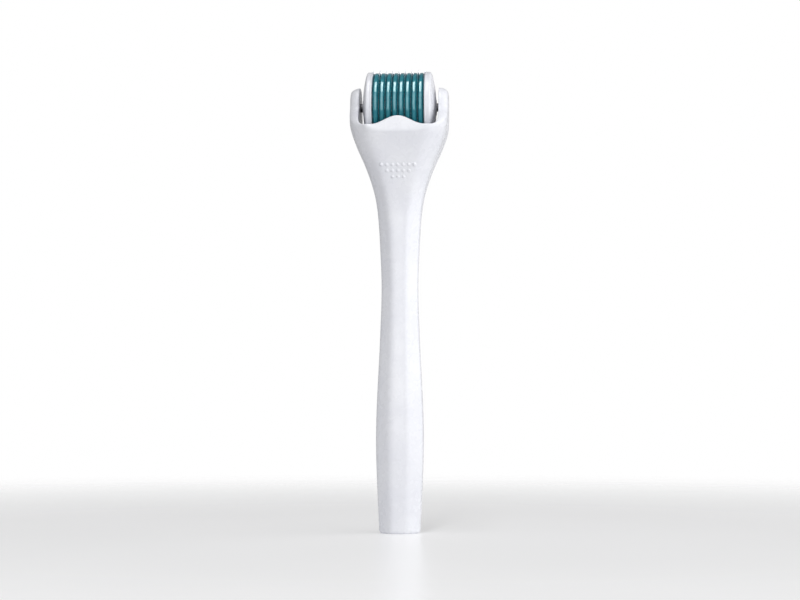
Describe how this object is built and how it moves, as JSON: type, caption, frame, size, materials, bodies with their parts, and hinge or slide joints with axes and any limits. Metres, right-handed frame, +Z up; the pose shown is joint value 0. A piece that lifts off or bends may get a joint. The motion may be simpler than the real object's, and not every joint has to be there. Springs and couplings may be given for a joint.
{
  "type": "derma roller",
  "caption": "Hand-held derma roller: a slim two-shell handle flares into a fork that carries a free-turning drum of micro-needle discs between domed caps.",
  "frame": {"origin": "centre of the handle's flat end, straight below the middle of the axle", "axes": "+Z up the handle towards the drum, X along the drum's axle, -Y to the front where the thumb rests"},
  "size_m": [0.0306, 0.026, 0.145],
  "materials": {
    "white_plastic": "gloss white moulded plastic",
    "teal_plastic": "gloss dark teal moulded plastic",
    "core_plastic": "satin pale grey moulded plastic",
    "needle_steel": "bright stamped stainless steel",
    "pin_steel": "dark ground steel"
  },
  "bodies": {
    "handle": {"handle_front_shell": "white_plastic", "handle_back_shell": "white_plastic", "axle_pin": "pin_steel"},
    "drum": {"drum_core": "core_plastic", "needle_disc_1": "needle_steel", "needle_disc_2": "needle_steel", "needle_disc_3": "needle_steel", "needle_disc_4": "needle_steel", "needle_disc_5": "needle_steel", "needle_disc_6": "needle_steel", "needle_disc_7": "needle_steel", "needle_disc_8": "needle_steel", "needle_disc_9": "needle_steel", "spacer_ring_1": "teal_plastic", "spacer_ring_2": "teal_plastic", "spacer_ring_3": "teal_plastic", "spacer_ring_4": "teal_plastic", "spacer_ring_5": "teal_plastic", "spacer_ring_6": "teal_plastic", "spacer_ring_7": "teal_plastic", "spacer_ring_8": "teal_plastic", "end_cap_left": "white_plastic", "end_cap_right": "white_plastic"}
  },
  "joints": [
    {"name": "drum_spin", "type": "hinge", "parent": "handle", "child": "drum", "pos_m": [0, 0, 0.133], "axis": [1, 0, 0], "continuous": true}
  ]
}
